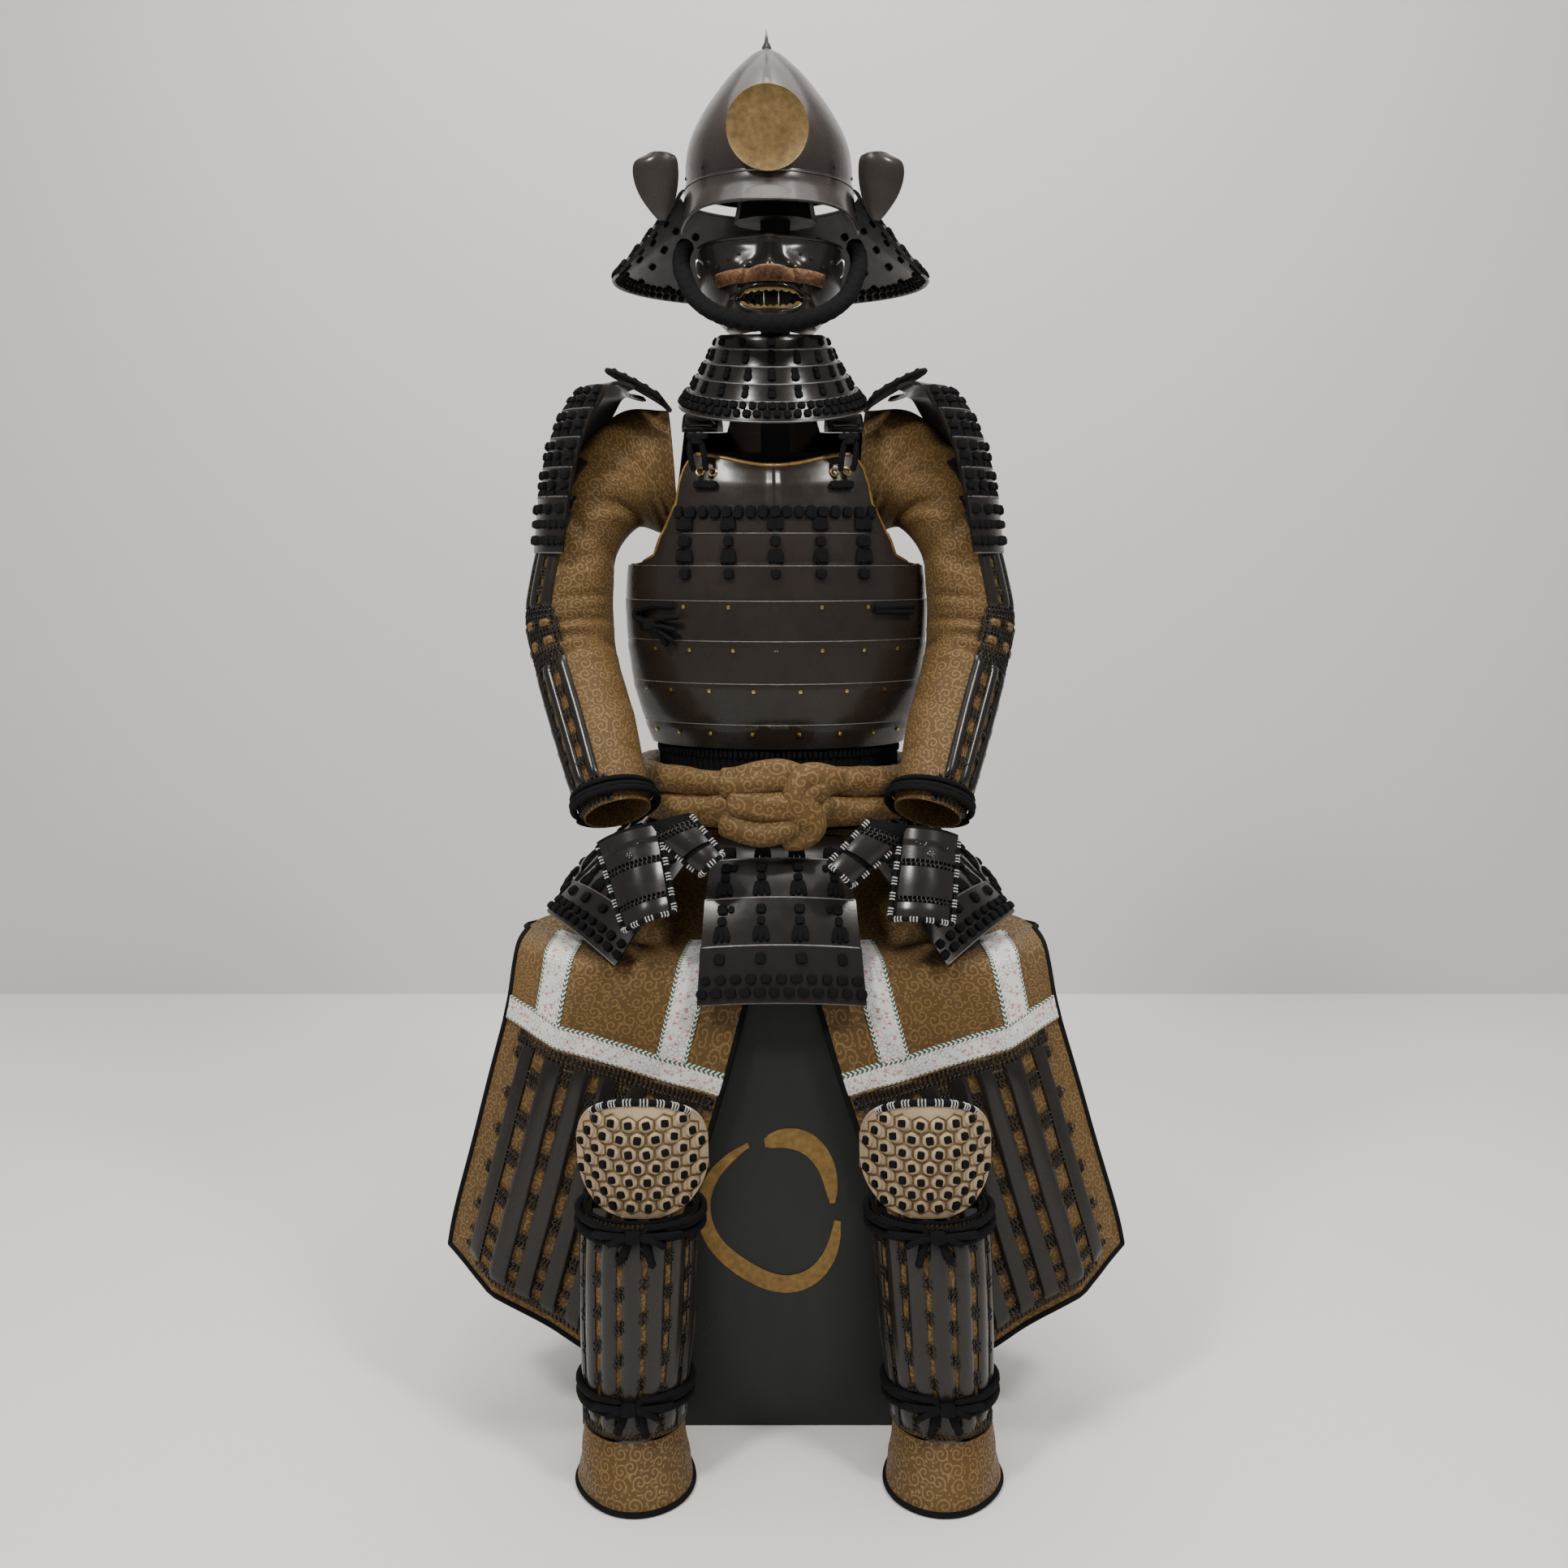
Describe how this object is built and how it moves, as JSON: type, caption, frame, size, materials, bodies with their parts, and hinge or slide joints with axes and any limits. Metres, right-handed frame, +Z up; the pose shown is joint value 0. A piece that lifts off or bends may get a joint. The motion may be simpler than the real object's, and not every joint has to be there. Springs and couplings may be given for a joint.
{
  "type": "samurai armour seated on its storage box",
  "caption": "Full suit of samurai armour with helmet, mask, plate cuirass, splinted sleeves, thigh apron and shin guards, seated on a dark armour box",
  "frame": {"origin": "centre of the box's underside, on the floor", "axes": "+Z up; the armour faces -Y; +X is the armour's left side"},
  "size_m": [0.776, 0.573, 1.579],
  "materials": {
    "lacquer": "dark brown-black lacquer over iron plates, glossy",
    "gold": "old gold leaf, satin",
    "damask": "brown silk damask with a lighter scroll pattern",
    "mail": "blackened mail and splints on brown damask",
    "cord": "black braided silk cord and lacing",
    "leather": "tan and cream leather over small hexagons",
    "whiteBand": "white braid with small printed motifs",
    "bristle": "brown bristle",
    "boxPaint": "matte green-black lacquered wood",
    "standWood": "dark stained wood"
  },
  "bodies": {
    "root": {"box_body": "boxPaint", "box_lid": "boxPaint", "stand_post": "standWood", "helmet_bowl": "lacquer", "helmet_visor": "lacquer", "helmet_neck_guard": "lacquer", "helmet_ear_left": "lacquer", "helmet_ear_right": "lacquer", "helmet_disc": "gold", "disc_holder": "lacquer", "mask": "lacquer", "mask_moustache": "bristle", "throat_guard": "lacquer", "chin_cord": "cord", "cuirass_front": "lacquer", "cuirass_back": "lacquer", "shoulder_strap_left": "leather", "shoulder_strap_right": "leather", "toggle_tie_left": "cord", "toggle_tie_right": "cord", "side_tie_left": "cord", "side_tie_right": "cord", "waist_lacing": "cord", "sash_wrap": "damask", "sash_knot": "damask", "tasset_front": "lacquer", "tasset_front_side_left": "lacquer", "tasset_front_side_right": "lacquer", "tasset_side_left": "lacquer", "tasset_side_right": "lacquer", "tasset_back_left": "lacquer", "tasset_back_right": "lacquer", "sleeve_left": "damask", "sleeve_right": "damask", "sleeve_mail_left": "mail", "sleeve_mail_right": "mail", "wrist_cord_left": "cord", "wrist_cord_right": "cord", "hand_guard_left": "lacquer", "hand_guard_right": "lacquer", "shoulder_guard_left": "lacquer", "shoulder_guard_right": "lacquer", "shoulder_wing_left": "leather", "shoulder_wing_right": "leather", "apron_panel_left": "damask", "apron_panel_right": "damask", "apron_mail_left": "mail", "apron_mail_right": "mail", "apron_bands_left": "whiteBand", "apron_bands_right": "whiteBand", "shin_guard_left": "mail", "shin_guard_right": "mail", "knee_cap_left": "leather", "knee_cap_right": "leather", "shin_tie_upper_left": "cord", "shin_tie_upper_right": "cord", "shin_tie_lower_left": "cord", "shin_tie_lower_right": "cord", "foot_cover_left": "damask", "foot_cover_right": "damask"}
  },
  "joints": []
}
